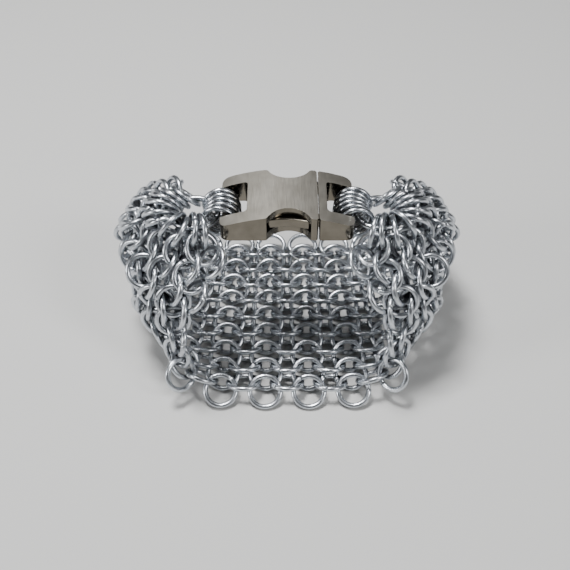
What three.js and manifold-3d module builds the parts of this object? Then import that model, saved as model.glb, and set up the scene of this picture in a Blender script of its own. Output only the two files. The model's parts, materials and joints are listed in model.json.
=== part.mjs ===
// A wide chain mail wrist cuff, closed by a small metal side-release buckle.
// Millimetres, +Z up. The cuff stands on its long side: the mail band lies on z = 0, both of its
// flanks rise and gather round two tie rings, and the buckle bridges them at the top.
// X runs round the wrist (left to right), Y runs across the band (near edge to far edge).
import * as THREE from "three";
import { mergeVertices } from "three/addons/utils/BufferGeometryUtils.js";
import Module from "manifold-3d";

const wasm = await Module();
wasm.setup();

// ---------------------------------------------------------------- driving dimensions

const MAIL_RING = { wire: 1.3, centreRadius: 3.85 }; // 16 gauge wire on a 1/4 inch mandrel
const LINK_RING = { wire: 1.25, centreRadius: 4.02 };
const TIE_RING = { wire: 1.5, centreRadius: 5.7 };

const BAND = {
  columns: 16, // ring columns round the wrist, the two end ones threaded on the tie rings
  nearEdge: -28, // Y of the ring centres at the band's edges, on the flat stretch
  farEdge: 26.5,
  nearPitch: 11, // between ring columns on the flat stretch, at the band's near edge
  farPitch: 9.2,
  thickness: 5.6, // of the leaning rings together
  nearReach: 3, // how far the edge rings stand past their centres
  farReach: 4.3, // the far ones lie flatter
};

const BUCKLE = {
  y: -1,
  halfLength: 15.9,
  halfWidth: 9.2,
  archRadius: 43.2, // of its outer face, curved round the wrist
  crownHeight: 45.1, // of that face at the middle of the buckle
  underside: 38, // its inner face is flat
  cornerRadius: 2.4,
  mouthX: 7.2, // open end of the housing
  shoulderX: 7.6, // where the male half starts
};

const CAVITY = { backX: -7.4, halfWidth: 7.9, halfHeight: 1.5, z: 41.6 };
const MOUTH_HALF_WIDTH = 7.6; // the arms' shoulders catch behind this narrower throat
const WINDOW = { fromX: -4.8, toX: 5.6, depth: 3.5 };
const SLOT = { fromX: 9.5, halfWidth: 5.5 }; // link slots, mirrored left and right
const BAR = { x: 14.65, z: 39.2, width: 2.1, height: 2.3, chamfer: 0.55 };

const ARM = {
  halfHeight: 1.2,
  pivotX: 9.0,
  pivotY: 6.4,
  eyeRadius: 1.25,
  pinRadius: 0.55,
  shoulderY: 8, // just wider than the housing's mouth
  shoulderX: 5.1,
  hollowY: 7.2, // of the thumb pad's outer face at its middle, and of the slim beam
  innerY: 5,
  tipX: -6.4,
};
const PIN = { clearance: 0.3, below: 3, above: 1.6 }; // below and above the arms' middle
const LEAF = { thickness: 0.5, tipX: 0.5, tipY: 4.6, baseY: 3.2, halfHeight: 1, clearance: 0.35 };
const CLEAR_BELOW = 30; // heights that a cut starts and ends at, clear of the buckle
const CLEAR_ABOVE = 50;

const TIE = { x: 22.55, z: 38.7 };
const END_RING = { count: 10, distance: 7.95 };
const LINK_PITCH = { left: 1.7, right: 1.55 };
const LINK_DROP = 0.2; // of the link rings' middles below the bar's middle
const LINK_YAW = 0.045; // radians for each millimetre from the middle, turned to face the tie ring

const COLOURS = {
  mail: { color: 0xc4cad0, roughness: 0.3, metalness: 1 },
  link: { color: 0xc9ced3, roughness: 0.28, metalness: 1 },
  buckle: { color: 0x9f9a92, roughness: 0.36, metalness: 1 },
  spring: { color: 0x8f949a, roughness: 0.4, metalness: 1 },
};

// ---------------------------------------------------------------- solids and meshes

const group = new THREE.Group();
const radians = THREE.MathUtils.degToRad;

function toSolid(geometry) {
  const bare = geometry.index ? geometry.toNonIndexed() : geometry.clone();
  bare.deleteAttribute("normal");
  bare.deleteAttribute("uv");
  const merged = mergeVertices(bare, 1e-4);
  return new wasm.Manifold(
    new wasm.Mesh({
      numProp: 3,
      vertProperties: new Float32Array(merged.attributes.position.array),
      triVerts: new Uint32Array(merged.index.array),
    }),
  );
}

function toGeometry(solid) {
  const mesh = solid.getMesh();
  const geometry = new THREE.BufferGeometry();
  geometry.setAttribute("position", new THREE.BufferAttribute(mesh.vertProperties, 3));
  geometry.setIndex(new THREE.BufferAttribute(mesh.triVerts, 1));
  geometry.computeVertexNormals();
  return geometry;
}

function addMesh(name, geometry, colour, parent = group) {
  const mesh = new THREE.Mesh(geometry, new THREE.MeshStandardMaterial(colour));
  mesh.name = name;
  parent.add(mesh);
  return mesh;
}

// A plan outline in X and Y, raised between two heights.
function plate(shape, fromZ, toZ, curveSegments = 6) {
  const geometry = new THREE.ExtrudeGeometry(shape, {
    depth: toZ - fromZ,
    bevelEnabled: false,
    curveSegments,
  });
  return toSolid(geometry.translate(0, 0, fromZ));
}

function block(fromX, toX, fromY, toY, fromZ, toZ) {
  const geometry = new THREE.BoxGeometry(toX - fromX, toY - fromY, toZ - fromZ);
  return toSolid(geometry.translate((fromX + toX) / 2, (fromY + toY) / 2, (fromZ + toZ) / 2));
}

// An upright round bar or bore.
function column(x, y, radius, fromZ, toZ, sides = 12) {
  const geometry = new THREE.CylinderGeometry(radius, radius, toZ - fromZ, sides);
  return toSolid(geometry.rotateX(Math.PI / 2).translate(x, y, (fromZ + toZ) / 2));
}

// ---------------------------------------------------------------- the mail band

// Where the band's middle surface runs on the left flank, from the first column beside the tie
// ring (u = 1) down to the corner at the floor (u = 5). Each column has five points, from the
// near edge to the far edge. The right flank is its mirror image.
const FLANK = [
  [[-16, -12.7, 34.9], [-29, -13.8, 33.1], [-37.3, 0.5, 32.9], [-35.5, 9, 33.1], [-31, 13.6, 34.1]],
  [[-20.4, -18.9, 30.1], [-34.5, -14.1, 27.3], [-41.3, 2.5, 24.7], [-40.5, 12.5, 24.5], [-37.3, 19, 26.7]],
  [[-24.5, -22, 26.5], [-36, -11.5, 20.5], [-40.3, 1.5, 15.5], [-39.3, 14.5, 14.5], [-38.3, 24.6, 17]],
  [[-24.7, -23.5, 18], [-34, -13, 11.5], [-34.8, 0.5, 7.8], [-33, 14.5, 6.5], [-32.5, 26.4, 8.5]],
  [[-26.3, -26, 7.6], [-26.5, -14, 4.2], [-25.8, 0, 3.4], [-24, 14, 3.2], [-23, 26.5, 3.2]],
];
const FLANK_ROWS = FLANK[0].length;
const FLOOR_HEIGHT = BAND.thickness / 2;
const FAN = { left: 105, right: 100, far: 68 }; // degrees round the tie ring, near and far

// Centre of an end ring, at t from 0 (near) to 1 (far) round the tie ring's outer side.
function fanPoint(side, t) {
  const near = side < 0 ? FAN.left : FAN.right;
  const angle = radians(THREE.MathUtils.lerp(near, -FAN.far, t));
  return new THREE.Vector3(
    side * (TIE.x + END_RING.distance * Math.cos(angle)),
    BUCKLE.y - END_RING.distance * Math.sin(angle),
    TIE.z,
  );
}

const LAST_COLUMN = BAND.columns - 1;

// A column's points on the left half. The right half is built as its mirror image.
function columnPoints(u) {
  const points = [];
  for (let row = 0; row < FLANK_ROWS; row += 1) {
    const t = row / (FLANK_ROWS - 1);
    if (u === 0) {
      points.push(fanPoint(-1, t));
    } else if (u <= FLANK.length) {
      points.push(new THREE.Vector3(...FLANK[u - 1][row]));
    } else {
      const x = (u - LAST_COLUMN / 2) * THREE.MathUtils.lerp(BAND.nearPitch, BAND.farPitch, t);
      const y = THREE.MathUtils.lerp(BAND.nearEdge, BAND.farEdge, t);
      points.push(new THREE.Vector3(x, y, FLOOR_HEIGHT));
    }
  }
  return points;
}

const columnCurves = [];
for (let u = 0; u <= LAST_COLUMN / 2 + 2; u += 1) {
  columnCurves.push(new THREE.CatmullRomCurve3(columnPoints(u), false, "catmullrom"));
}

// The band's middle surface: u counts ring columns, t runs from the near to the far edge.
function bandPoint(u, t) {
  const across = columnCurves.map((curve) => curve.getPoint(t));
  const around = new THREE.CatmullRomCurve3(across, false, "catmullrom");
  const point = around.getPoint(u / (columnCurves.length - 1));
  point.z = Math.max(point.z, FLOOR_HEIGHT);
  return point;
}

function bandNormal(u, t) {
  const step = 0.02;
  const t0 = Math.max(t - step, 0);
  const t1 = Math.min(t + step, 1);
  const alongU = bandPoint(u + step, t).sub(bandPoint(u - step, t));
  const alongT = bandPoint(u, t1).sub(bandPoint(u, t0));
  return alongU.cross(alongT).normalize();
}

// A closed skin from a ring of stations, each holding the same number of points.
function loft(stations) {
  const count = stations[0].length;
  const position = stations.flat().flatMap((p) => [p.x, p.y, p.z]);
  const index = [];
  for (let s = 0; s + 1 < stations.length; s += 1) {
    for (let i = 0; i < count; i += 1) {
      const a = s * count + i;
      const b = s * count + ((i + 1) % count);
      index.push(a, b + count, b, a, a + count, b + count);
    }
  }
  const end = (stations.length - 1) * count;
  for (let i = 1; i + 1 < count; i += 1) {
    index.push(0, i, i + 1);
    index.push(end, end + i + 1, end + i);
  }
  const geometry = new THREE.BufferGeometry();
  geometry.setAttribute("position", new THREE.Float32BufferAttribute(position, 3));
  geometry.setIndex(index);
  return geometry;
}

// One column of the mail as a plain slab, between fromU and toU.
function mailStrip(fromU, toU) {
  const slices = 6;
  const half = BAND.thickness / 2;
  const stations = [];
  for (let s = 0; s <= slices; s += 1) {
    const t = s / slices;
    const lower = [];
    const upper = [];
    for (const u of [fromU, (fromU + toU) / 2, toU]) {
      const point = bandPoint(u, t);
      if (s === 0 || s === slices) {
        const inside = bandPoint(u, s === 0 ? 0.05 : 0.95);
        const reach = s === 0 ? BAND.nearReach : BAND.farReach;
        point.add(point.clone().sub(inside).setLength(reach));
      }
      const normal = bandNormal(u, t);
      upper.push(point.clone().addScaledVector(normal, half));
      lower.push(point.clone().addScaledVector(normal, -half));
    }
    stations.push([...lower, ...upper.reverse()]);
  }
  return toSolid(loft(stations));
}

const GAP = 0.055; // of a column pitch, kept at each side of a strip
const HINGE_GAP = 0.1;
const HINGE_AT = [4.5, 5.5]; // counted from the right end: the right flank folds outward here
const BESIDE_TIE = 0.1; // how far the first strip reaches past its column, short of the end rings

for (let u = 1; u < LAST_COLUMN; u += 1) {
  const isLeft = u < LAST_COLUMN / 2;
  const fromEnd = isLeft ? u : LAST_COLUMN - u;
  const gapAt = (line) => (!isLeft && HINGE_AT.includes(line) ? HINGE_GAP : GAP);
  const outer = fromEnd === 1 ? BESIDE_TIE : 0.5 - gapAt(fromEnd - 0.5);
  const strip = mailStrip(fromEnd - outer, fromEnd + 0.5 - gapAt(fromEnd + 0.5));
  const name = `mail_column_${String(u + 1).padStart(2, "0")}`;
  addMesh(name, toGeometry(isLeft ? strip : strip.mirror([1, 0, 0])), COLOURS.mail);
}

// ---------------------------------------------------------------- loose rings

function ringGeometry({ wire, centreRadius }, around = 12, section = 5) {
  return new THREE.TorusGeometry(centreRadius, wire / 2, section, around);
}

function closed(geometry) {
  return toGeometry(toSolid(geometry));
}

// The end rings of the mail stand round the tie ring's outer side, each one round its wire.
function endRings(side, label) {
  for (let i = 0; i < END_RING.count; i += 1) {
    const centre = fanPoint(side, i / (END_RING.count - 1));
    const ring = closed(ringGeometry(MAIL_RING));
    const name = `${label}_end_ring_${String(i + 1).padStart(2, "0")}`;
    const mesh = addMesh(name, ring, COLOURS.mail);
    mesh.position.copy(centre);
    const outward = Math.atan2(centre.y - BUCKLE.y, centre.x - side * TIE.x);
    mesh.rotation.set(Math.PI / 2, 0, outward, "ZXY");
  }
}

function tieRing(side, name) {
  const mesh = addMesh(name, closed(ringGeometry(TIE_RING, 20, 6)), COLOURS.link);
  mesh.position.set(side * TIE.x, BUCKLE.y, TIE.z);
}

// Small rings stand side by side round the buckle's bar and the tie ring's wire. Those further
// from the middle follow the curve of the tie ring.
function linkRings(side, label, count, pitch) {
  for (let i = 0; i < count; i += 1) {
    const offset = (i - (count - 1) / 2) * pitch;
    const { centreRadius, wire } = TIE_RING;
    const reach = Math.sqrt(centreRadius ** 2 - offset ** 2);
    const tieOuter = TIE.x - reach + ((wire / 2) * centreRadius) / reach;
    const barInner = BAR.x - BAR.width / 2;
    const mesh = addMesh(`${label}_link_${i + 1}`, closed(ringGeometry(LINK_RING)), COLOURS.link);
    mesh.position.set((side * (tieOuter + barInner)) / 2, BUCKLE.y + offset, BAR.z - LINK_DROP);
    mesh.rotation.set(Math.PI / 2, 0, -side * offset * LINK_YAW, "ZXY");
  }
}

tieRing(-1, "left_tie_ring");
tieRing(1, "right_tie_ring");
endRings(-1, "left");
endRings(1, "right");
linkRings(-1, "left", 5, LINK_PITCH.left);
linkRings(1, "right", 6, LINK_PITCH.right);

// ---------------------------------------------------------------- the buckle

const buckle = new THREE.Group();
buckle.position.y = BUCKLE.y;
group.add(buckle);

// The slab that both halves are cut from, with an arched outer face.
function archedSlab() {
  const { archRadius, crownHeight, underside, halfLength, halfWidth } = BUCKLE;
  const reach = halfLength + 2;
  const angle = Math.asin(reach / archRadius);
  const up = Math.PI / 2;
  const profile = new THREE.Shape();
  profile.moveTo(-reach, underside);
  profile.lineTo(reach, underside);
  profile.absarc(0, crownHeight - archRadius, archRadius, up - angle, up + angle, false);
  profile.closePath();
  const depth = 2 * halfWidth + 2;
  const geometry = new THREE.ExtrudeGeometry(profile, {
    depth,
    bevelEnabled: false,
    curveSegments: 14,
  });
  return toSolid(geometry.translate(0, 0, -depth / 2).rotateX(Math.PI / 2));
}

// A plan outline from one X to another, with round corners at the buckle's outer end.
function outline(innerX, outerX) {
  const w = BUCKLE.halfWidth;
  const r = BUCKLE.cornerRadius;
  const inward = Math.sign(innerX - outerX);
  const shape = new THREE.Shape();
  shape.moveTo(innerX, -w);
  shape.lineTo(outerX + inward * r, -w);
  shape.quadraticCurveTo(outerX, -w, outerX, -w + r);
  shape.lineTo(outerX, w - r);
  shape.quadraticCurveTo(outerX, w, outerX + inward * r, w);
  shape.lineTo(innerX, w);
  shape.closePath();
  return plate(shape, CLEAR_BELOW, CLEAR_ABOVE);
}

// The bar that the link rings hang on, with chamfered edges.
function bar(side) {
  const { x, z, width, height, chamfer } = BAR;
  const w = width / 2;
  const h = height / 2;
  const profile = new THREE.Shape();
  profile.moveTo(-w + chamfer, -h);
  profile.lineTo(w - chamfer, -h);
  profile.lineTo(w, -h + chamfer);
  profile.lineTo(w, h - chamfer);
  profile.lineTo(w - chamfer, h);
  profile.lineTo(-w + chamfer, h);
  profile.lineTo(-w, h - chamfer);
  profile.lineTo(-w, -h + chamfer);
  profile.closePath();
  const depth = 2 * SLOT.halfWidth + 1;
  const geometry = new THREE.ExtrudeGeometry(profile, { depth, bevelEnabled: false });
  geometry.translate(0, 0, -depth / 2).rotateX(Math.PI / 2);
  return toSolid(geometry.translate(side * x, 0, z));
}

// The open end beyond a slot, where only the two side rails and the bar stay.
function slotCut(side) {
  const far = BUCKLE.halfLength + 3;
  const { fromX, halfWidth } = SLOT;
  const [a, b] = side < 0 ? [-far, -fromX] : [fromX, far];
  return block(a, b, -halfWidth, halfWidth, CLEAR_BELOW, CLEAR_ABOVE);
}

function femaleHousing() {
  const { backX, halfWidth, halfHeight, z } = CAVITY;
  const { mouthX, halfWidth: outerWidth } = BUCKLE;
  const halfChord = (WINDOW.toX - WINDOW.fromX) / 2;
  const thumbRadius = (halfChord ** 2 + WINDOW.depth ** 2) / (2 * WINDOW.depth);
  const thumbX = (WINDOW.fromX + WINDOW.toX) / 2;
  const thumbY = outerWidth - WINDOW.depth + thumbRadius;
  let solid = archedSlab().intersect(outline(mouthX, -BUCKLE.halfLength));
  solid = solid.subtract(slotCut(-1)).add(bar(-1));
  solid = solid.subtract(
    block(backX, WINDOW.toX, -halfWidth, halfWidth, z - halfHeight, z + halfHeight),
  );
  solid = solid.subtract(
    block(WINDOW.toX - 1, mouthX + 1, -MOUTH_HALF_WIDTH, MOUTH_HALF_WIDTH, z - halfHeight, z + halfHeight),
  );
  for (const side of [-1, 1]) {
    const thumb = column(thumbX, side * thumbY, thumbRadius, CLEAR_BELOW, CLEAR_ABOVE, 28);
    solid = solid.subtract(thumb);
    const [a, b] = side < 0 ? [-outerWidth - 1, -halfWidth + 1] : [halfWidth - 1, outerWidth + 1];
    solid = solid.subtract(block(WINDOW.fromX, WINDOW.toX, a, b, z - halfHeight, z + halfHeight));
  }
  return solid;
}

function maleFrame() {
  const { shoulderX, halfLength } = BUCKLE;
  const { z, halfHeight } = CAVITY;
  const { pivotX, pivotY, eyeRadius, pinRadius } = ARM;
  const room = eyeRadius + PIN.clearance;
  let solid = archedSlab().intersect(outline(shoulderX, halfLength));
  solid = solid.subtract(slotCut(1)).add(bar(1));
  for (const side of [-1, 1]) {
    const y = side * pivotY;
    solid = solid.subtract(
      block(shoulderX - 1, pivotX, y - room, y + room, z - halfHeight, z + halfHeight),
    );
    solid = solid.subtract(column(pivotX, y, room, z - halfHeight, z + halfHeight));
    const boreTop = z + PIN.above + PIN.clearance;
    solid = solid.subtract(column(pivotX, y, pinRadius + PIN.clearance, CLEAR_BELOW, boreTop, 10));
  }
  return solid;
}

// A spring arm in plan: its eye on the pin, a slim beam, and a thumb pad with a hollow outer face.
function springArm(side) {
  const { halfHeight, pivotX, pivotY, eyeRadius, pinRadius } = ARM;
  const { shoulderX, shoulderY, hollowY, innerY, tipX } = ARM;
  const { z } = CAVITY;
  const shape = new THREE.Shape();
  shape.moveTo(pivotX, pivotY - eyeRadius);
  shape.lineTo(shoulderX - 0.5, innerY);
  shape.lineTo(tipX + 2.8, innerY);
  shape.quadraticCurveTo(tipX + 0.2, innerY + 0.2, tipX, innerY + 1.2);
  shape.quadraticCurveTo(tipX + 0.4, hollowY - 0.1, tipX + 2.1, shoulderY - 0.5);
  shape.quadraticCurveTo(0.5, 2 * hollowY - shoulderY, shoulderX, shoulderY);
  shape.lineTo(shoulderX, hollowY);
  shape.lineTo(pivotX - eyeRadius, hollowY);
  shape.lineTo(pivotX, pivotY + eyeRadius);
  shape.closePath();
  let solid = plate(shape, z - halfHeight, z + halfHeight, 4);
  solid = solid.add(column(pivotX, pivotY, eyeRadius, z - halfHeight, z + halfHeight));
  const bore = pinRadius + PIN.clearance;
  solid = solid.subtract(column(pivotX, pivotY, bore, CLEAR_BELOW, CLEAR_ABOVE, 10));
  return side > 0 ? solid : solid.mirror([0, 1, 0]);
}

function armPin(side) {
  const { pivotX, pivotY, pinRadius } = ARM;
  return column(pivotX, side * pivotY, pinRadius, CAVITY.z - PIN.below, CAVITY.z + PIN.above, 10);
}

// A leaf bent to a U: its base sits against the male frame and its legs push the arms apart.
function armSpring() {
  const { thickness, tipX, tipY, baseY, halfHeight, clearance } = LEAF;
  const base = BUCKLE.shoulderX - clearance;
  const shape = new THREE.Shape();
  shape.moveTo(base, -baseY);
  shape.lineTo(base, baseY);
  shape.lineTo(tipX, tipY);
  shape.lineTo(tipX, tipY - thickness);
  shape.lineTo(base - thickness, baseY - thickness);
  shape.lineTo(base - thickness, thickness - baseY);
  shape.lineTo(tipX, thickness - tipY);
  shape.lineTo(tipX, -tipY);
  shape.closePath();
  return plate(shape, CAVITY.z - halfHeight, CAVITY.z + halfHeight);
}

addMesh("female_housing", toGeometry(femaleHousing()), COLOURS.buckle, buckle);
addMesh("male_frame", toGeometry(maleFrame()), COLOURS.buckle, buckle);
addMesh("near_arm", toGeometry(springArm(-1)), COLOURS.buckle, buckle);
addMesh("far_arm", toGeometry(springArm(1)), COLOURS.buckle, buckle);
addMesh("near_arm_pin", toGeometry(armPin(-1)), COLOURS.spring, buckle);
addMesh("far_arm_pin", toGeometry(armPin(1)), COLOURS.spring, buckle);
addMesh("arm_spring", toGeometry(armSpring()), COLOURS.spring, buckle);

export default group;
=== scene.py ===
"""The looks of a chain mail wrist cuff: every ring of its mail, its tie rings and links, and its buckle.

The cuff stands on its long side. X runs round the wrist, Y across the band from its near edge to
its far edge, and Z up. Lengths below are in millimetres until a mesh is made.
"""

import json
import math

import bmesh
import bpy
import numpy as np
from mathutils import Matrix, Vector

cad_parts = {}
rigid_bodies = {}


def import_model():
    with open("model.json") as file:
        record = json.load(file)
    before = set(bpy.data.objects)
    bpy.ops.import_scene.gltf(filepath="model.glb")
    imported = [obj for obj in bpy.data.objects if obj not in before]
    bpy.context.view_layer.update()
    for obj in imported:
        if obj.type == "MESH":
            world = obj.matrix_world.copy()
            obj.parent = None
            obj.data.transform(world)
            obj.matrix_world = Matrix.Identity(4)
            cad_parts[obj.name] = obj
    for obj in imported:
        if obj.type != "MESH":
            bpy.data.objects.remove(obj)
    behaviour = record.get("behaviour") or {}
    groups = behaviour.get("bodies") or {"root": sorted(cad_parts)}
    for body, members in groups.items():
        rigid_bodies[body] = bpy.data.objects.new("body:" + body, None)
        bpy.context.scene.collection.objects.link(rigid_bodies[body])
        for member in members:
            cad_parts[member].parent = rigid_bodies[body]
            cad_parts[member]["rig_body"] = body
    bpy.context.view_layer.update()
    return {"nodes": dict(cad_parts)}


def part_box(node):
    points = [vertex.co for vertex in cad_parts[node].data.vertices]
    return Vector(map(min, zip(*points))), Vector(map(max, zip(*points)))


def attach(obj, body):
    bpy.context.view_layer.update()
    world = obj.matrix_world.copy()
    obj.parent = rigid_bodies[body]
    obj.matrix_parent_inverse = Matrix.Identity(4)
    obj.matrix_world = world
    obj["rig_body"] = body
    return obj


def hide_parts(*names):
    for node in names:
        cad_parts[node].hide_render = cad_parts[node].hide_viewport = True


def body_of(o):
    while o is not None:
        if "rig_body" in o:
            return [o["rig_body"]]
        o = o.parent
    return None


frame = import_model()
MM = 0.001

# ---------------------------------------------------------------- sizes

WIRE = 1.3
RING_RADIUS = 3.85  # to the middle of the wire
COLUMNS = 16  # of A rings, round the wrist
ROWS = 10  # of A rings, across the band
FLAT_SPACING = 8.0  # a row spacing at which rings would lie flat on the band
STEEPEST, FLATTEST = 0.36, 0.8  # cosines of how far rings lean from the band's surface
B_FLATTER = 0.7  # the B rings start flatter than the A rings
FAR_EDGE_DROOP = 0.15  # nothing holds the far edge rings up, so they lie flatter
FLOOR_HEIGHT = 3.0  # of the ring centres on the flat stretch
NEAR_EDGE, FAR_EDGE = -28.0, 26.5  # Y of the edge rings' centres on the flat stretch
NEAR_PITCH, FAR_PITCH = 11.0, 9.2  # between columns on the flat stretch

TIE_RADIUS, TIE_WIRE = 5.7, 1.5
LINK_RADIUS, LINK_WIRE = 4.02, 1.25
FAN_DISTANCE = 7.95  # from a tie ring's middle to the middle of an end ring
FAN_NEAR = {-1: 105.0, 1: 100.0}  # degrees round the tie ring, left and right
FAN_FAR = 68.0


def middle(node):
    """The middle of a CAD node's box, in millimetres."""
    low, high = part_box(node)
    return np.array((low + high) / 2) / MM


TIES = {-1: middle("left_tie_ring"), 1: middle("right_tie_ring")}

# ---------------------------------------------------------------- the band's middle surface

# The left flank, from the column beside the tie ring down to the corner at the floor. Each column
# has five points, from the near edge to the far edge. The right flank mirrors it.
FLANK = np.array([
    [[-16, -12.7, 34.9], [-29, -13.8, 33.1], [-37.3, 0.5, 32.9], [-35.5, 9, 33.1], [-31, 13.6, 34.1]],
    [[-20.4, -18.9, 30.1], [-34.5, -14.1, 27.3], [-41.3, 2.5, 24.7], [-40.5, 12.5, 24.5], [-37.3, 19, 26.7]],
    [[-24.5, -22, 26.5], [-36, -11.5, 20.5], [-40.3, 1.5, 15.5], [-39.3, 14.5, 14.5], [-38.3, 24.6, 17]],
    [[-24.7, -23.5, 18], [-34, -13, 11.5], [-34.8, 0.5, 7.8], [-33, 14.5, 6.5], [-32.5, 26.4, 8.5]],
    [[-26.3, -26, 7.6], [-26.5, -14, 4.2], [-25.8, 0, 3.4], [-24, 14, 3.2], [-23, 26.5, 3.2]],
])
LAST = COLUMNS - 1


def fan_point(side, t):
    """Where an end ring stands round a tie ring, at t from 0 (near) to 1 (far)."""
    angle = math.radians(FAN_NEAR[side] + (-FAN_FAR - FAN_NEAR[side]) * t)
    out = np.array([side * math.cos(angle), -math.sin(angle), 0.0])
    return TIES[side] + FAN_DISTANCE * out


def column_points(u):
    side = -1 if u < LAST / 2 else 1
    from_end = u if side < 0 else LAST - u
    points = []
    for t in np.linspace(0, 1, FLANK.shape[1]):
        if from_end == 0:
            points.append(fan_point(side, t))
        elif from_end <= len(FLANK):
            x, y, z = FLANK[from_end - 1][len(points)]
            points.append(np.array([-side * x, y, z]))
        else:
            x = (u - LAST / 2) * (NEAR_PITCH + (FAR_PITCH - NEAR_PITCH) * t)
            y = NEAR_EDGE + (FAR_EDGE - NEAR_EDGE) * t
            points.append(np.array([x, y, FLOOR_HEIGHT]))
    return points


NET = np.array([column_points(u) for u in range(COLUMNS)])


def smooth_through(points, t):
    """A point on the uniform Catmull-Rom curve through the points, at t from 0 to 1."""
    spans = len(points) - 1
    place = min(max(t, 0.0), 1.0) * spans
    i = min(int(place), spans - 1)
    f = place - i
    b, c = points[i], points[i + 1]
    a = points[i - 1] if i else 2 * b - c
    d = points[i + 2] if i + 2 <= spans else 2 * c - b
    return 0.5 * (2 * b + (c - a) * f + (2 * a - 5 * b + 4 * c - d) * f**2 + (3 * b - a - 3 * c + d) * f**3)


def band_point(u, t):
    """The band's middle surface: u counts columns, t runs from the near to the far edge."""
    point = smooth_through([smooth_through(column, t) for column in NET], u / LAST)
    point[2] = max(point[2], FLOOR_HEIGHT)
    return point


def band_frame(u, t):
    """Directions round the wrist, across the band and inward, and the row spacing there."""
    step = 0.03
    u0, u1 = max(u - step, 0), min(u + step, LAST)
    t0, t1 = max(t - step, 0), min(t + step, 1)
    around = band_point(u1, t) - band_point(u0, t)
    across = band_point(u, t1) - band_point(u, t0)
    row_spacing = np.linalg.norm(across) / (t1 - t0) / (ROWS - 1)
    around /= np.linalg.norm(around)
    inward = np.cross(around, across)
    inward /= np.linalg.norm(inward)
    return around, np.cross(inward, around), inward, row_spacing


# ---------------------------------------------------------------- where every ring lies


def first_layout():
    """The European 4-in-1 weave on the band's surface. A rings lean one way and B rings the other,
    and the closer their rows stand, the more upright they are."""
    keys, centres, normals = [], [], []
    for kind, count, rows, shift in (("A", COLUMNS, ROWS, 0), ("B", COLUMNS - 1, ROWS - 1, 0.5)):
        for column in range(count):
            for row in range(rows):
                u, t = column + shift, (row + shift) / (ROWS - 1)
                _, across, inward, spacing = band_frame(u, t)
                lean = math.acos(min(max(spacing / FLAT_SPACING, STEEPEST), FLATTEST))
                if kind == "A" and row == ROWS - 1:
                    lean *= FAR_EDGE_DROOP
                if kind == "B":
                    lean *= B_FLATTER
                side = -1 if kind == "A" else 1
                keys.append((kind, column, row))
                centres.append(band_point(u, t))
                normals.append(math.cos(lean) * inward + side * math.sin(lean) * across)
    return keys, np.array(centres), np.array(normals)


def linked_pairs(keys):
    """Each A ring runs through the B rings round it, and the end ones through a tie ring too."""
    index = {key: i for i, key in enumerate(keys)}
    pairs = []
    for (kind, column, row), i in index.items():
        if kind == "A":
            around = [("B", c, r) for c in (column - 1, column) for r in (row - 1, row)]
            pairs += [(i, index[key]) for key in around if key in index]
            if column in (0, LAST):
                pairs.append((i, len(keys) + (column == LAST)))
    return pairs


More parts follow.
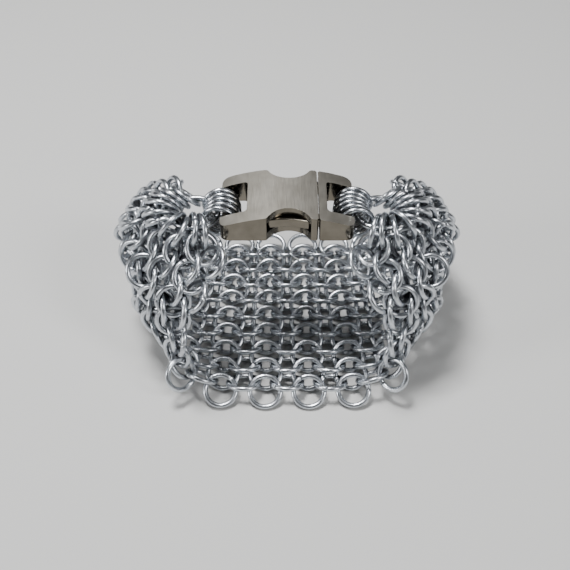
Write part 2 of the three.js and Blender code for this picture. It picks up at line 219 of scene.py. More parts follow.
class Rings:
    """Stiff round rings that touch but don't cut through each other, moved a little at a time."""

    SAMPLES = np.linspace(0, 2 * math.pi, 24, endpoint=False)
    SLACK = 0.02

    def __init__(self, keys, centres, normals):
        count = len(keys)
        self.keys = keys
        self.centre = np.vstack([centres, TIES[-1], TIES[1]])
        self.normal = np.vstack([normals, [0, 0, 1], [0, 0, 1]])
        self.radius = np.array([RING_RADIUS] * count + [TIE_RADIUS] * 2)
        self.half_wire = np.array([WIRE / 2] * count + [TIE_WIRE / 2] * 2)
        self.free = np.array([1.0] * count + [0.0] * 2)
        self.home = self.centre.copy(), self.normal.copy()
        linked = linked_pairs(keys)
        self.pairs = np.array(linked + self.neighbours(set(linked)))
        self.want_linked = np.arange(len(self.pairs)) < len(linked)

    def neighbours(self, linked):
        """Pairs that aren't linked but are near enough to touch."""
        reach = 2 * RING_RADIUS + 4.8
        found = []
        for i in range(len(self.centre)):
            away = np.linalg.norm(self.centre - self.centre[i], axis=1)
            limit = reach + 3.5 * (self.free[i] == 0)
            found += [(i, j) for j in np.nonzero(away < limit)[0] if j > i and (i, j) not in linked]
        return found

    def axes(self):
        """Two directions in each ring's plane."""
        up = np.where(np.abs(self.normal[:, 2:]) < 0.9, [[0.0, 0, 1]], [[1.0, 0, 0]])
        first = np.cross(self.normal, up)
        first /= np.linalg.norm(first, axis=1, keepdims=True)
        return first, np.cross(self.normal, first)

    def onto(self, points, ring):
        """The nearest points of the given rings' centre circles."""
        away = points - self.centre[ring]
        away -= np.sum(away * self.normal[ring], axis=1, keepdims=True) * self.normal[ring]
        away /= np.maximum(np.linalg.norm(away, axis=1, keepdims=True), 1e-9)
        return self.centre[ring] + away * self.radius[ring][:, None]

    def closest(self, i, j):
        """The closest points of rings i and j."""
        first, second = self.axes()
        cos, sin = np.cos(self.SAMPLES)[None, :, None], np.sin(self.SAMPLES)[None, :, None]
        circle = cos * first[i][:, None] + sin * second[i][:, None]
        on_i = self.centre[i][:, None] + self.radius[i][:, None, None] * circle
        away = on_i - self.centre[j][:, None]
        height = np.einsum("psc,pc->ps", away, self.normal[j])
        flat = np.linalg.norm(away - height[..., None] * self.normal[j][:, None], axis=2)
        distance = np.hypot(height, flat - self.radius[j][:, None])
        p = on_i[np.arange(len(i)), distance.argmin(axis=1)]
        for _ in range(2):
            q = self.onto(p, j)
            p = self.onto(q, i)
        return p, self.onto(p, j)

    def linked(self, i, j):
        """Whether ring j passes through ring i: exactly one of its crossings is inside."""
        first, second = self.axes()
        a = np.sum(self.normal[i] * first[j], axis=1) * self.radius[j]
        b = np.sum(self.normal[i] * second[j], axis=1) * self.radius[j]
        c = np.sum(self.normal[i] * (self.centre[j] - self.centre[i]), axis=1)
        size = np.maximum(np.hypot(a, b), 1e-9)
        turn = np.arccos(np.clip(-c / size, -1, 1))
        inside = []
        for sign in (1, -1):
            angle = (np.arctan2(b, a) + sign * turn)[:, None]
            circle = np.cos(angle) * first[j] + np.sin(angle) * second[j]
            crossing = self.centre[j] + self.radius[j][:, None] * circle
            inside.append(np.linalg.norm(crossing - self.centre[i], axis=1) < self.radius[i])
        return (np.abs(c) < size) & (inside[0] ^ inside[1])

    def mend_links(self, move):
        """Draws rings together that should be linked and aren't, and parts those that shouldn't be.
        Returns the pairs that are as they should be."""
        i, j = self.pairs.T
        wrong = self.linked(i, j) != self.want_linked
        join = self.want_linked[wrong][:, None]
        i, j = i[wrong], j[wrong]
        apart = self.centre[j] - self.centre[i]
        length = np.linalg.norm(apart, axis=1, keepdims=True)
        draw = np.where(join, np.clip(length - 1.2 * RING_RADIUS, -0.6, 1.0) / 4, -0.25) * apart / length
        height = np.sum(apart * self.normal[i], axis=1, keepdims=True)
        draw += np.where(join, 0.15 * height, 0) * self.normal[i]
        np.add.at(move, i, draw * self.free[i][:, None])
        np.add.at(move, j, -draw * self.free[j][:, None])
        return self.pairs[~wrong]

    def step(self, pull):
        move = np.zeros_like(self.centre)
        turn = np.zeros_like(self.centre)
        hits = np.zeros(len(self.centre))
        good = self.mend_links(move)
        for i, j in (good.T, good.T[::-1]):
            p, q = self.closest(i, j)
            gap = np.linalg.norm(p - q, axis=1)
            want = self.half_wire[i] + self.half_wire[j] + self.SLACK
            close = gap < want
            i, j, p, q, gap, want = (v[close] for v in (i, j, p, q, gap, want))
            push = (p - q) / np.maximum(gap, 1e-6)[:, None]
            swing_i, give_i = self.swing(i, p, push)
            swing_j, give_j = self.swing(j, q, push)
            size = ((want - gap) / (give_i * self.free[i] + give_j * self.free[j]))[:, None]
            for ring, swing, sign in ((i, swing_i, 1), (j, swing_j, -1)):
                free = sign * size * self.free[ring][:, None]
                np.add.at(move, ring, free * push)
                np.add.at(turn, ring, free * swing)
                np.add.at(hits, ring, 1)
        ease = (0.5 / np.sqrt(np.maximum(hits, 1)))[:, None]
        free = self.free[:, None]
        self.centre = self.centre + move * ease + free * pull * (self.home[0] - self.centre)
        self.normal = self.normal + np.cross(turn * ease, self.normal)
        self.normal += free * pull / 2 * (self.home[1] - self.normal)
        self.normal /= np.linalg.norm(self.normal, axis=1, keepdims=True)
        droop = self.radius * np.sqrt(np.maximum(1 - self.normal[:, 2] ** 2, 0)) + self.half_wire
        self.centre[:, 2] += np.maximum(droop - self.centre[:, 2], 0) * self.free

    def swing(self, ring, point, push):
        """How a unit push at a point turns a thin ring, and how easily it gives way there."""
        arm = np.cross(point - self.centre[ring], push)
        arm -= np.sum(arm * self.normal[ring], axis=1, keepdims=True) * self.normal[ring]
        ease = 2 / self.radius[ring] ** 2
        return arm * ease[:, None], 1 + np.sum(arm**2, axis=1) * ease

    def settle(self):
        for steps, pull in ((60, 0.04), (160, 0.01), (200, 0.0)):
            for _ in range(steps):
                self.step(pull)


rings = Rings(*first_layout())
rings.settle()
PLACE = {key: (rings.centre[i], rings.normal[i]) for i, key in enumerate(rings.keys)}

# ---------------------------------------------------------------- meshes


def new_object(name, vertices, faces, uvs=None):
    mesh = bpy.data.meshes.new(name)
    mesh.from_pydata(np.asarray(vertices).tolist(), [], faces)
    if uvs is not None:
        layer = mesh.uv_layers.new(name="UVMap")
        layer.data.foreach_set("uv", np.asarray(uvs, np.float32).ravel())
    mesh.polygons.foreach_set("use_smooth", [True] * len(mesh.polygons))
    mesh.update()
    piece = bpy.data.objects.new(name, mesh)
    bpy.context.scene.collection.objects.link(piece)
    return piece


ALONG, ROUND = 44, 12  # facets along a ring's wire and round it
SEAM = 0.05  # half the gap where the wire's cut ends meet
END_BEVEL = 0.07
SEAM_STEP = 0.035  # how far the two ends stand out of line, as a standard deviation
LINK_SEAM_STEP = 0.03


def ring_mesh(centre, normal, radius, wire, seam, step):
    """A ring of round wire, cut from a coil and closed: its two flat ends almost meet at angle
    seam, and stand a little to either side of each other by step."""
    normal = np.asarray(normal, float)
    side = np.cross(normal, [0, 0, 1.0] if abs(normal[2]) < 0.9 else [1.0, 0, 0])
    side /= np.linalg.norm(side)
    other = np.cross(normal, side)
    first = SEAM / radius
    bevel = first + END_BEVEL / radius
    inner = np.linspace(bevel, 2 * math.pi - bevel, ALONG + 1)
    angles = np.concatenate([[first], inner, [2 * math.pi - first]])
    thick = np.full(len(angles), wire / 2)
    thick[[0, -1]] -= END_BEVEL
    vertices, uvs, faces = [], [], []
    spin = np.linspace(0, 2 * math.pi, ROUND, endpoint=False)
    for angle, r in zip(angles, thick):
        out = math.cos(angle + seam) * side + math.sin(angle + seam) * other
        middle_of_wire = centre + radius * out + normal * step * (angle / math.pi - 1)
        vertices += [middle_of_wire + r * (math.cos(s) * out + math.sin(s) * normal) for s in spin]
    sections = len(angles)
    for a in range(sections - 1):
        for s in range(ROUND):
            e = (s + 1) % ROUND
            faces.append((a * ROUND + s, (a + 1) * ROUND + s, (a + 1) * ROUND + e, a * ROUND + e))
            u0, u1 = angles[a] * radius, angles[a + 1] * radius
            v0, v1 = s * wire * math.pi / ROUND, (s + 1) * wire * math.pi / ROUND
            uvs += [(u0, v0), (u1, v0), (u1, v1), (u0, v1)]
    for start, order in ((0, 1), ((sections - 1) * ROUND, -1)):
        faces.append(tuple(start + s for s in range(ROUND))[::order])
        uvs += [(0, 0)] * ROUND
    return np.array(vertices) * MM, faces, uvs


def joined_rings(name, specs):
    """One object of several rings, each a ring_mesh call's arguments."""
    vertices, faces, uvs = [], [], []
    for spec in specs:
        new_vertices, new_faces, new_uvs = ring_mesh(*spec)
        start = len(vertices)
        vertices.extend(new_vertices)
        faces += [tuple(start + v for v in face) for face in new_faces]
        uvs += new_uvs
    return new_object(name, vertices, faces, uvs)


dice = np.random.default_rng(7)


def mail_column(kind, column, rows):
    specs = []
    for row in range(rows):
        centre, normal = PLACE[(kind, column, row)]
        seam = dice.uniform(0, 2 * math.pi)
        specs.append((centre, normal, RING_RADIUS, WIRE, seam, dice.normal(0, SEAM_STEP)))
    return joined_rings(f"mail_{kind.lower()}_rings_{column + 1:02d}", specs)


def body_of_column(u):
    """The body that a mail column rides on, A columns at whole u and B columns between them."""
    if u == LAST:
        return "right_tie"
    if u > 10.5:
        return "right_flank"
    if u > 9.5:
        return "right_corner"
    return "root"


mail = []
for column in range(COLUMNS):
    piece = mail_column("A", column, ROWS)
    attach(piece, body_of_column(column))
    if column in (0, LAST):
        side = "left" if column == 0 else "right"
        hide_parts(*[f"{side}_end_ring_{i + 1:02d}" for i in range(ROWS)])
    else:
        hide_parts(f"mail_column_{column + 1:02d}")
    mail.append(piece)
for column in range(COLUMNS - 1):
    piece = mail_column("B", column, ROWS - 1)
    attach(piece, body_of_column(column + 0.5))
    mail.append(piece)

# ---------------------------------------------------------------- tie rings and links

LINK_PITCH = {-1: 1.7, 1: 1.55}
LINK_COUNT = {-1: 5, 1: 6}
LINK_YAW = 0.045  # radians for each millimetre from the middle, turned to face the tie ring
SIDES = {-1: "left", 1: "right"}
TIE_SEAM = {-1: 250, 1: 70}  # degrees round the tie ring


def loose_ring(name, node, normal, radius, wire, seam):
    """A ring that stands for a CAD ring and rides on its body."""
    piece = joined_rings(name, [(middle(node), normal, radius, wire, seam, LINK_SEAM_STEP)])
    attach(piece, body_of(frame["nodes"][node])[0])
    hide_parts(node)
    return piece


loose_rings = []
for side, label in SIDES.items():
    node = f"{label}_tie_ring"
    seam = math.radians(TIE_SEAM[side])
    loose_rings.append(loose_ring(f"{node}_wire", node, (0, 0, 1), TIE_RADIUS, TIE_WIRE, seam))
    count = LINK_COUNT[side]
    for i in range(count):
        offset = (i - (count - 1) / 2) * LINK_PITCH[side]
        yaw = -side * offset * LINK_YAW
        node = f"{label}_link_{i + 1}"
        normal = (-math.sin(yaw), math.cos(yaw), 0)
        seam = dice.uniform(2.6, 3.6)
        loose_rings.append(loose_ring(f"{node}_wire", node, normal, LINK_RADIUS, LINK_WIRE, seam))

# ---------------------------------------------------------------- the buckle

BUCKLE_Y = TIES[-1][1]
ARCH_RADIUS, CROWN, UNDERSIDE = 43.2, 45.1, 38.0  # its outer face is arched, its inner face flat
HALF_LENGTH, HALF_WIDTH = 15.9, 9.2
END_CORNER, SPLIT_CORNER, SCOOP_CORNER, SLOT_CORNER = 2.4, 0.75, 0.8, 1.1
MOUTH_X, SHOULDER_X = 7.28, 7.52  # the housing's open end, and where the male half starts
CAVITY_BACK, CAVITY_HALF_WIDTH, CAVITY_HALF_HEIGHT, CAVITY_Z = -7.4, 7.9, 1.5, 41.6
MOUTH_HALF_WIDTH = 7.6
SCOOP_FROM, SCOOP_TO, SCOOP_DEPTH = -4.8, 5.6, 3.5
SLOT_FROM, SLOT_HALF_WIDTH = 9.5, 5.5
BAR_X, BAR_Z, BAR_WIDTH, BAR_HEIGHT, BAR_CORNER = 14.65, 39.2, 2.1, 2.3, 0.6
ARM_HALF_HEIGHT, PIVOT_X, PIVOT_Y, EYE_RADIUS, PIN_RADIUS = 1.2, 9.0, 6.4, 1.25, 0.55
PIN_CLEARANCE = 0.3
ARM_SHOULDER_X, ARM_SHOULDER_Y = 5.1, 8.0  # just wider than the housing's mouth
ARM_HOLLOW_Y, ARM_INNER_Y = 7.2, 5.0
PIN_BELOW, PIN_ABOVE = 3.0, 1.6  # from the arms' middle
PIN_BORE_ABOVE = 2.0
SHELL_ROUNDING, ARM_ROUNDING, PIN_ROUNDING, LEAF_ROUNDING = 0.32, 0.22, 0.12, 0.08
LOW, HIGH = 30.0, 50.0  # well below and above the buckle


def bend(a, control, b, steps=6):
    """Points of a quadratic curve from a to b, without b."""
    a, control, b = (np.array(p, float) for p in (a, control, b))
    return [a + 2 * f * (control - a) + f * f * (a - 2 * control + b) for f in np.arange(steps) / steps]


def rounded(corners, steps=6):
    """A closed outline from corners (x, y, radius)."""
    points = []
    for k, (x, y, radius) in enumerate(corners):
        here = np.array([x, y], float)
        if not radius:
            points.append(here)
            continue
        ends = []
        for other in (corners[k - 1], corners[(k + 1) % len(corners)]):
            way = np.array(other[:2], float) - here
            ends.append(here + radius * way / np.linalg.norm(way))
        points += bend(ends[0], here, ends[1], steps) + [ends[1]]
    return points


def arc(x, y, radius, start, end, steps):
    """Points of an arc, its angles in degrees."""
    angles = np.radians(np.linspace(start, end, steps + 1))
    return [np.array([x + radius * math.cos(a), y + radius * math.sin(a)]) for a in angles]


def circle(x, y, radius):
    """Points of a full circle, the first one not repeated."""
    return arc(x, y, radius, 0, 345, 23)


def box_outline(x0, x1, y0, y1):
    return [(x0, y0), (x1, y0), (x1, y1), (x0, y1)]


def extruded(name, outline, low, high, upright=True):
    """A solid from an outline: in X and Y between two heights, or in X and Z between two Ys.
    Y counts from the buckle's middle line."""
    build = bmesh.new()
    ends = []
    for level in (low, high):
        ring = [(x, BUCKLE_Y + v, level) if upright else (x, BUCKLE_Y + level, v) for x, v in outline]
        ends.append([build.verts.new(point) for point in ring])
    count = len(outline)
    build.faces.new(ends[0])
    build.faces.new(ends[1])
    for k in range(count):
        n = (k + 1) % count
        build.faces.new((ends[0][k], ends[0][n], ends[1][n], ends[1][k]))
    bmesh.ops.recalc_face_normals(build, faces=build.faces)
    mesh = bpy.data.meshes.new(name)
    build.to_mesh(mesh)
    build.free()
    piece = bpy.data.objects.new(name, mesh)
    bpy.context.scene.collection.objects.link(piece)
    return piece


def apply_modifiers(piece):
    """Applies a piece's modifiers to its mesh."""
    graph = bpy.context.evaluated_depsgraph_get()
    mesh = bpy.data.meshes.new_from_object(piece.evaluated_get(graph))
    piece.modifiers.clear()
    old, piece.data = piece.data, mesh
    bpy.data.meshes.remove(old)


def combine(piece, tool, operation):
    modifier = piece.modifiers.new("combine", "BOOLEAN")
    modifier.operation = operation
    modifier.solver = "EXACT"
    modifier.object = tool
    apply_modifiers(piece)
    bpy.data.objects.remove(tool)


def cut(piece, outline, low=LOW, high=HIGH, upright=True):
    combine(piece, extruded("tool", outline, low, high, upright), "DIFFERENCE")


def join(piece, outline, low, high, upright=True):
    combine(piece, extruded("tool", outline, low, high, upright), "UNION")


def soften(piece, width, segments=3):
    """Rounds a piece's edges and shades it smooth."""
    bevel = piece.modifiers.new("bevel", "BEVEL")
    bevel.width = width
    bevel.segments = segments
    bevel.limit_method = "ANGLE"
    bevel.angle_limit = math.radians(32)
    bevel.miter_outer = "MITER_ARC"
    apply_modifiers(piece)
    piece.data.polygons.foreach_set("use_smooth", [True] * len(piece.data.polygons))
    weight = piece.modifiers.new("normals", "WEIGHTED_NORMAL")
    weight.weight = 100
    apply_modifiers(piece)


def arched_body(name, outline):
    """A plan outline cut from a slab with an arched outer face."""
    reach = HALF_LENGTH + 2
    span = math.degrees(math.asin(reach / ARCH_RADIUS))
    profile = [(reach, UNDERSIDE), (-reach, UNDERSIDE)]
    profile += arc(0, CROWN - ARCH_RADIUS, ARCH_RADIUS, 90 + span, 90 - span, 44)
    piece = extruded(name, profile, -HALF_WIDTH - 2, HALF_WIDTH + 2, upright=False)
    combine(piece, extruded("plan", outline, LOW, HIGH), "INTERSECT")
    return piece


def link_slot(piece, side):
    """The open end, where two side rails and a bar stay."""
    far = HALF_LENGTH + 3
    corners = [(SLOT_FROM, -SLOT_HALF_WIDTH, SLOT_CORNER), (far, -SLOT_HALF_WIDTH, 0)]
    corners += [(far, SLOT_HALF_WIDTH, 0), (SLOT_FROM, SLOT_HALF_WIDTH, SLOT_CORNER)]
    cut(piece, rounded([(side * x, y, r) for x, y, r in corners]))
    w, h = BAR_WIDTH / 2, BAR_HEIGHT / 2
    section = [(side * BAR_X + x, BAR_Z + z, BAR_CORNER) for x, z in box_outline(-w, w, -h, h)]
    join(piece, rounded(section, 3), -SLOT_HALF_WIDTH - 0.4, SLOT_HALF_WIDTH + 0.4, upright=False)


def scoop(side):
    """The thumb cut-out in the housing's edge, from its right end to its left, as corners."""
    half = (SCOOP_TO - SCOOP_FROM) / 2
    radius = (half**2 + SCOOP_DEPTH**2) / (2 * SCOOP_DEPTH)
    x = (SCOOP_FROM + SCOOP_TO) / 2
    y = HALF_WIDTH - SCOOP_DEPTH + radius
    span = math.degrees(math.asin(half / radius))
    points = arc(x, y, radius, 270 + span, 270 - span, 26)
    corners = [(px, side * py, 0) for px, py in points]
    for end in (0, -1):
        corners[end] = (*corners[end][:2], SCOOP_CORNER)
    return corners


def without_near(corners, reach):
    """Drops the points of a scoop that its rounded ends take up."""
    first, last = np.array(corners[0][:2]), np.array(corners[-1][:2])
    kept = [corners[0]]
    for corner in corners[1:-1]:
        point = np.array(corner[:2])
        if min(np.linalg.norm(point - first), np.linalg.norm(point - last)) > reach:
            kept.append(corner)
    return kept + [corners[-1]]


def housing():
    far = without_near(scoop(1), SCOOP_CORNER * 1.2)
    near = without_near(scoop(-1), SCOOP_CORNER * 1.2)[::-1]
    outline = [(MOUTH_X, HALF_WIDTH, SPLIT_CORNER), *far]
    outline += [(-HALF_LENGTH, HALF_WIDTH, END_CORNER), (-HALF_LENGTH, -HALF_WIDTH, END_CORNER)]
    outline += [*near, (MOUTH_X, -HALF_WIDTH, SPLIT_CORNER)]
    piece = arched_body("female_housing_shell", rounded(outline))
    link_slot(piece, -1)
    low, high = CAVITY_Z - CAVITY_HALF_HEIGHT, CAVITY_Z + CAVITY_HALF_HEIGHT
    w = CAVITY_HALF_WIDTH
    cut(piece, box_outline(CAVITY_BACK, SCOOP_TO, -w, w), low, high)
    w = MOUTH_HALF_WIDTH
    cut(piece, box_outline(SCOOP_TO - 1, MOUTH_X + 1, -w, w), low, high)
    w = HALF_WIDTH + 1
    cut(piece, box_outline(SCOOP_FROM, SCOOP_TO, -w, w), low, high)
    soften(piece, SHELL_ROUNDING)
    return piece


def male_half():
    ends = [(SHOULDER_X, SPLIT_CORNER), (HALF_LENGTH, END_CORNER)]
    outline = [(x, -HALF_WIDTH, r) for x, r in ends] + [(x, HALF_WIDTH, r) for x, r in ends[::-1]]
    piece = arched_body("male_frame_body", rounded(outline))
    link_slot(piece, 1)
    low, high = CAVITY_Z - CAVITY_HALF_HEIGHT, CAVITY_Z + CAVITY_HALF_HEIGHT
    room = EYE_RADIUS + PIN_CLEARANCE
    for side in (-1, 1):
        y = side * PIVOT_Y
        pocket = [(SHOULDER_X - 1, y - room), (PIVOT_X, y - room)]
        pocket += arc(PIVOT_X, y, room, -80, 80, 12) + [(PIVOT_X, y + room), (SHOULDER_X - 1, y + room)]
        cut(piece, pocket, low, high)
        bore = PIN_RADIUS + PIN_CLEARANCE
        cut(piece, circle(PIVOT_X, y, bore), LOW, CAVITY_Z + PIN_BORE_ABOVE)
    soften(piece, SHELL_ROUNDING)
    return piece


def spring_arm(side, name):
    """An eye on the pin, a slim beam, and a thumb pad with a hollow outer face."""
    shoulder = (ARM_SHOULDER_X, ARM_SHOULDER_Y)
    tip, outer = (-6.4, 6.2), (-4.3, 7.5)
    outline = [(PIVOT_X, PIVOT_Y - EYE_RADIUS), (4.6, ARM_INNER_Y)]
    outline += bend((-3.6, ARM_INNER_Y), (-6.2, 5.2), tip)
    outline += bend(tip, (-6.0, 7.1), outer)
    outline += bend(outer, (0.5, 6.4), shoulder, 18)
    outline += [shoulder, (ARM_SHOULDER_X, ARM_HOLLOW_Y), (PIVOT_X - 1.2, ARM_HOLLOW_Y)]
    outline += arc(PIVOT_X, PIVOT_Y, EYE_RADIUS, 90, -80, 14)
    outline = [(x, side * y) for x, y in outline]
    piece = extruded(name, outline, CAVITY_Z - ARM_HALF_HEIGHT, CAVITY_Z + ARM_HALF_HEIGHT)
    bore = PIN_RADIUS + PIN_CLEARANCE
    cut(piece, circle(PIVOT_X, side * PIVOT_Y, bore))
    soften(piece, ARM_ROUNDING)
    return piece


def arm_pin(side, name):
    outline = circle(PIVOT_X, side * PIVOT_Y, PIN_RADIUS)
    piece = extruded(name, outline, CAVITY_Z - PIN_BELOW, CAVITY_Z + PIN_ABOVE)
    soften(piece, PIN_ROUNDING, 2)
    return piece


def leaf_spring():
    """A leaf bent to a U: its base sits against the male frame and its legs push the arms apart."""
    leaf, base, tip, leg, half = 0.5, SHOULDER_X - 0.35, 0.5, 4.6, 3.2
    upper = [(base, half, 0.9), (tip, leg, 0), (tip, leg - leaf, 0), (base - leaf, half - leaf, 0.5)]
    outline = upper + [(x, -y, r) for x, y, r in upper[::-1]]
    piece = extruded("arm_spring_leaf", rounded(outline, 4), CAVITY_Z - 1, CAVITY_Z + 1)
    soften(piece, LEAF_ROUNDING, 1)
    return piece


def stand_for(piece, node):
    """Takes a piece that was made in millimetres into the frame, in place of a CAD node."""
    piece.data.transform(Matrix.Scale(MM, 4))
    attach(piece, body_of(frame["nodes"][node])[0])
    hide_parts(node)
    return piece


shells = [stand_for(housing(), "female_housing")]
shells.append(stand_for(male_half(), "male_frame"))
for side, label in ((-1, "near"), (1, "far")):
    node = f"{label}_arm"
    shells.append(stand_for(spring_arm(side, f"{node}_pad"), node))
springs = [stand_for(leaf_spring(), "arm_spring")]
for side, label in ((-1, "near"), (1, "far")):
    node = f"{label}_arm_pin"
    springs.append(stand_for(arm_pin(side, f"{node}_steel"), node))

# ---------------------------------------------------------------- materials


class Nodes:
    """A metal material, built up node by node."""

    def __init__(self, name, roughness):
        self.material = bpy.data.materials.new(name)
        self.material.use_nodes = True
        self.tree = self.material.node_tree
        self.shader = self.tree.nodes["Principled BSDF"]
        self.shader.inputs["Metallic"].default_value = 1.0
        self.shader.inputs["Roughness"].default_value = roughness

    def add(self, kind, **settings):
        node = self.tree.nodes.new("ShaderNode" + kind)
        for name, value in settings.items():
            if name in node.inputs:
                node.inputs[name].default_value = value
            else:
                setattr(node, name, value)
        return node

    def link(self, source, target):
        self.tree.links.new(source, target)

    def noise(self, coordinates, stretch, scale, detail=3.0):
        """Noise in coordinates stretched by a factor along each axis."""
        mapping = self.add("Mapping")
        mapping.inputs["Scale"].default_value = stretch
        self.link(coordinates, mapping.inputs["Vector"])
        noise = self.add("TexNoise", Scale=scale, Detail=detail)
        self.link(mapping.outputs["Vector"], noise.inputs["Vector"])
        return noise.outputs["Fac"]

    def colours(self, fac, stops):
        """A colour ramp from stops (place, colour)."""
        ramp = self.add("ValToRGB")
        elements = ramp.color_ramp.elements
        while len(elements) < len(stops):
            elements.new(0.5)
        for element, (place, colour) in zip(elements, stops):
            element.position = place
            element.color = (*colour, 1)
        self.link(fac, ramp.inputs["Fac"])
        return ramp.outputs["Color"]

    def levels(self, fac, low, high):
        """A number that goes from low to high with fac."""
        spread = self.add("MapRange")
        spread.inputs["From Min"].default_value = 0.3
        spread.inputs["From Max"].default_value = 0.7
        spread.inputs["To Min"].default_value = low
        spread.inputs["To Max"].default_value = high
        self.link(fac, spread.inputs["Value"])
        return spread.outputs["Result"]

    def paint_shade_in_depths(self, colour, reach, darkest):
        """Sets the base colour, darker where other wires crowd round: painted shade, standing in for the
        shade that falls deep among the wires.
        """
        crowding = self.add("AmbientOcclusion", samples=8, Distance=reach)
        shade = self.add("MapRange", clamp=True)
        shade.inputs["From Min"].default_value = 0.12
        shade.inputs["From Max"].default_value = 0.75
        shade.inputs["To Min"].default_value = darkest
        shade.inputs["To Max"].default_value = 1.0
        self.link(crowding.outputs["AO"], shade.inputs["Value"])
        mix = self.add("Mix", data_type="RGBA", blend_type="MULTIPLY")
        mix.inputs["Factor"].default_value = 1.0
        self.link(colour, mix.inputs["A"])
        self.link(shade.outputs["Result"], mix.inputs["B"])
        self.link(mix.outputs["Result"], self.shader.inputs["Base Color"])

    def bump(self, height, strength, distance):
        node = self.add("Bump", Strength=strength, Distance=distance)
        self.link(height, node.inputs["Height"])
        self.link(node.outputs["Normal"], self.shader.inputs["Normal"])


# Painted shade: how near other wires must be to darken a wire's base colour, and how dark it gets there.
PAINTED_SHADE_REACH = 0.0036  # metres
DARKEST_PAINTED_SHADE = 0.12


def wire_metal(name, pale, dark, roughness):
    """Bright drawn aluminium wire: fine streaks along it, a little grey tarnish, and painted shade where
    wires crowd round.
    """
    nodes = Nodes(name, roughness)
    place = nodes.add("TexCoord")
    tarnish = nodes.noise(place.outputs["Object"], (1, 1, 1), 420, 4)
    unshaded_tone = nodes.colours(tarnish, [(0.36, dark), (0.58, pale)])
    # Painted shade: the wire's base colour darkens where other wires crowd round it.
    nodes.paint_shade_in_depths(unshaded_tone, PAINTED_SHADE_REACH, DARKEST_PAINTED_SHADE)
    streaks = nodes.noise(place.outputs["UV"], (0.35, 9.0, 1), 1.0, 3)
    nodes.link(nodes.levels(streaks, roughness * 0.75, roughness * 1.4), nodes.shader.inputs["Roughness"])
    nodes.bump(streaks, 0.25, 0.00003)
    return nodes.material


def satin_nickel():
    """The buckle's outer face: brushed across, with faint stains."""
    nodes = Nodes("satin nickel", 0.42)
    place = nodes.add("TexCoord").outputs["Object"]
    stains = nodes.noise(place, (1, 1, 1), 260, 3)
    colours = [(0.35, (0.42, 0.395, 0.345)), (0.65, (0.5, 0.475, 0.42))]
    nodes.link(nodes.colours(stains, colours), nodes.shader.inputs["Base Color"])
    brushed = nodes.noise(place, (1, 0.04, 1), 6000, 2)
    nodes.link(nodes.levels(brushed, 0.39, 0.47), nodes.shader.inputs["Roughness"])
    nodes.bump(brushed, 0.08, 0.00002)
    return nodes.material


def polished_nickel():
    """The buckle's edges and inner faces: cast, then tumbled bright. Their dark base colour is partly an
    antique dark nickel and partly painted dark reflection of dark surroundings, and darker in places.
    """
    nodes = Nodes("polished nickel", 0.16)
    place = nodes.add("TexCoord").outputs["Object"]
    stains = nodes.noise(place, (1, 1, 1), 300, 2)
    # Partly painted reflection: the dark base colour stands in for dark surroundings mirrored in the
    # polished faces.
    colours = [(0.3, (0.15, 0.134, 0.108)), (0.7, (0.19, 0.172, 0.142))]
    nodes.link(nodes.colours(stains, colours), nodes.shader.inputs["Base Color"])
    dents = nodes.noise(place, (1, 1, 1), 700, 2)
    nodes.link(nodes.levels(dents, 0.11, 0.19), nodes.shader.inputs["Roughness"])
    nodes.bump(dents, 0.2, 0.00006)
    return nodes.material


def spring_steel():
    nodes = Nodes("spring steel", 0.3)
    place = nodes.add("TexCoord").outputs["Object"]
    drawn = nodes.noise(place, (1, 1, 6), 1500, 3)
    colours = [(0.35, (0.30, 0.31, 0.33)), (0.65, (0.42, 0.43, 0.45))]
    nodes.link(nodes.colours(drawn, colours), nodes.shader.inputs["Base Color"])
    nodes.link(nodes.levels(drawn, 0.24, 0.4), nodes.shader.inputs["Roughness"])
    return nodes.material


def faces_by_side(piece, outer, other):
    """Gives the arched outer face one material and all other faces another."""
    piece.data.materials.clear()
    piece.data.materials.append(outer)
    piece.data.materials.append(other)
    centre = np.array([0.0, CROWN - ARCH_RADIUS]) * MM
    surface = (ARCH_RADIUS - 0.06) * MM
    for face in piece.data.polygons:
        x, _, z = face.center
        on_top = math.hypot(x - centre[0], z - centre[1]) > surface and face.normal.z > 0.85
        face.material_index = 0 if on_top else 1


def all_of(pieces, material):
    for piece in pieces:
        piece.data.materials.clear()
        piece.data.materials.append(material)


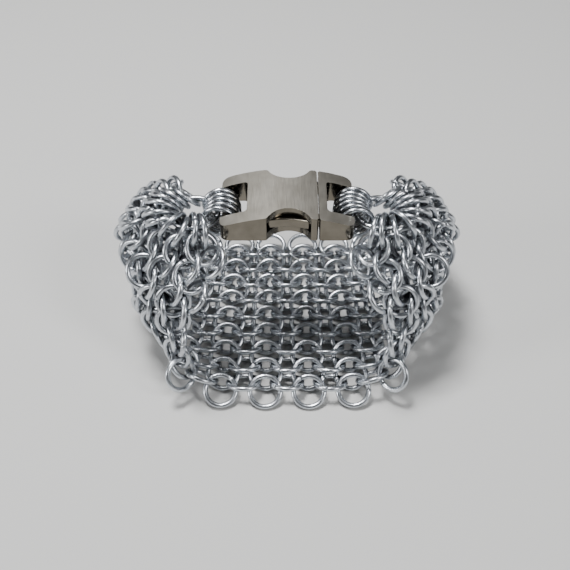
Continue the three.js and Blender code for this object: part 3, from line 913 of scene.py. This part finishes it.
mail_metal = wire_metal("mail wire", (0.66, 0.69, 0.73), (0.50, 0.525, 0.56), 0.27)
link_metal = wire_metal("link wire", (0.70, 0.73, 0.77), (0.56, 0.585, 0.62), 0.24)
satin, polished = satin_nickel(), polished_nickel()
all_of(mail, mail_metal)
all_of(loose_rings, link_metal)
for piece in shells[:2]:
    faces_by_side(piece, satin, polished)
all_of(shells[2:], polished)
all_of(springs, spring_steel())

# ---------------------------------------------------------------- floor, light and camera

floor = new_object("floor", [(-3, -3, 0), (3, -3, 0), (3, 3, 0), (-3, 3, 0)], [(0, 1, 2, 3)])
pale = bpy.data.materials.new("pale floor")
pale.use_nodes = True
pale.node_tree.nodes["Principled BSDF"].inputs["Base Color"].default_value = (0.62, 0.62, 0.61, 1)
pale.node_tree.nodes["Principled BSDF"].inputs["Roughness"].default_value = 0.8
floor.data.materials.append(pale)

CENTRE = Vector((0, 0, 0.02))


def softbox(name, place, size, power):
    light = bpy.data.lights.new(name, "AREA")
    light.shape = "RECTANGLE"
    light.size, light.size_y = size
    light.energy = power
    holder = bpy.data.objects.new(name, light)
    holder.location = place
    holder.rotation_euler = (CENTRE - Vector(place)).to_track_quat("-Z", "Y").to_euler()
    bpy.context.scene.collection.objects.link(holder)


softbox("key", (-0.12, 0.10, 0.60), (0.16, 0.16), 5.0)
softbox("fill", (0.40, -0.30, 0.45), (0.12, 0.20), 1.6)
softbox("side", (-0.50, -0.20, 0.25), (0.12, 0.20), 1.2)

world = bpy.data.worlds.new("studio")
world.use_nodes = True
background = world.node_tree.nodes["Background"]
background.inputs["Color"].default_value = (0.85, 0.87, 0.9, 1)
background.inputs["Strength"].default_value = 0.10
bpy.context.scene.world = world

camera = bpy.data.cameras.new("camera")
camera.sensor_width = 36
camera.lens = 55
camera.clip_start = 0.01
eye = bpy.data.objects.new("camera", camera)
eye.location = (-0.0005, -0.163, 0.176)
eye.rotation_euler = (math.radians(45), 0, 0)
bpy.context.scene.collection.objects.link(eye)
bpy.context.scene.camera = eye
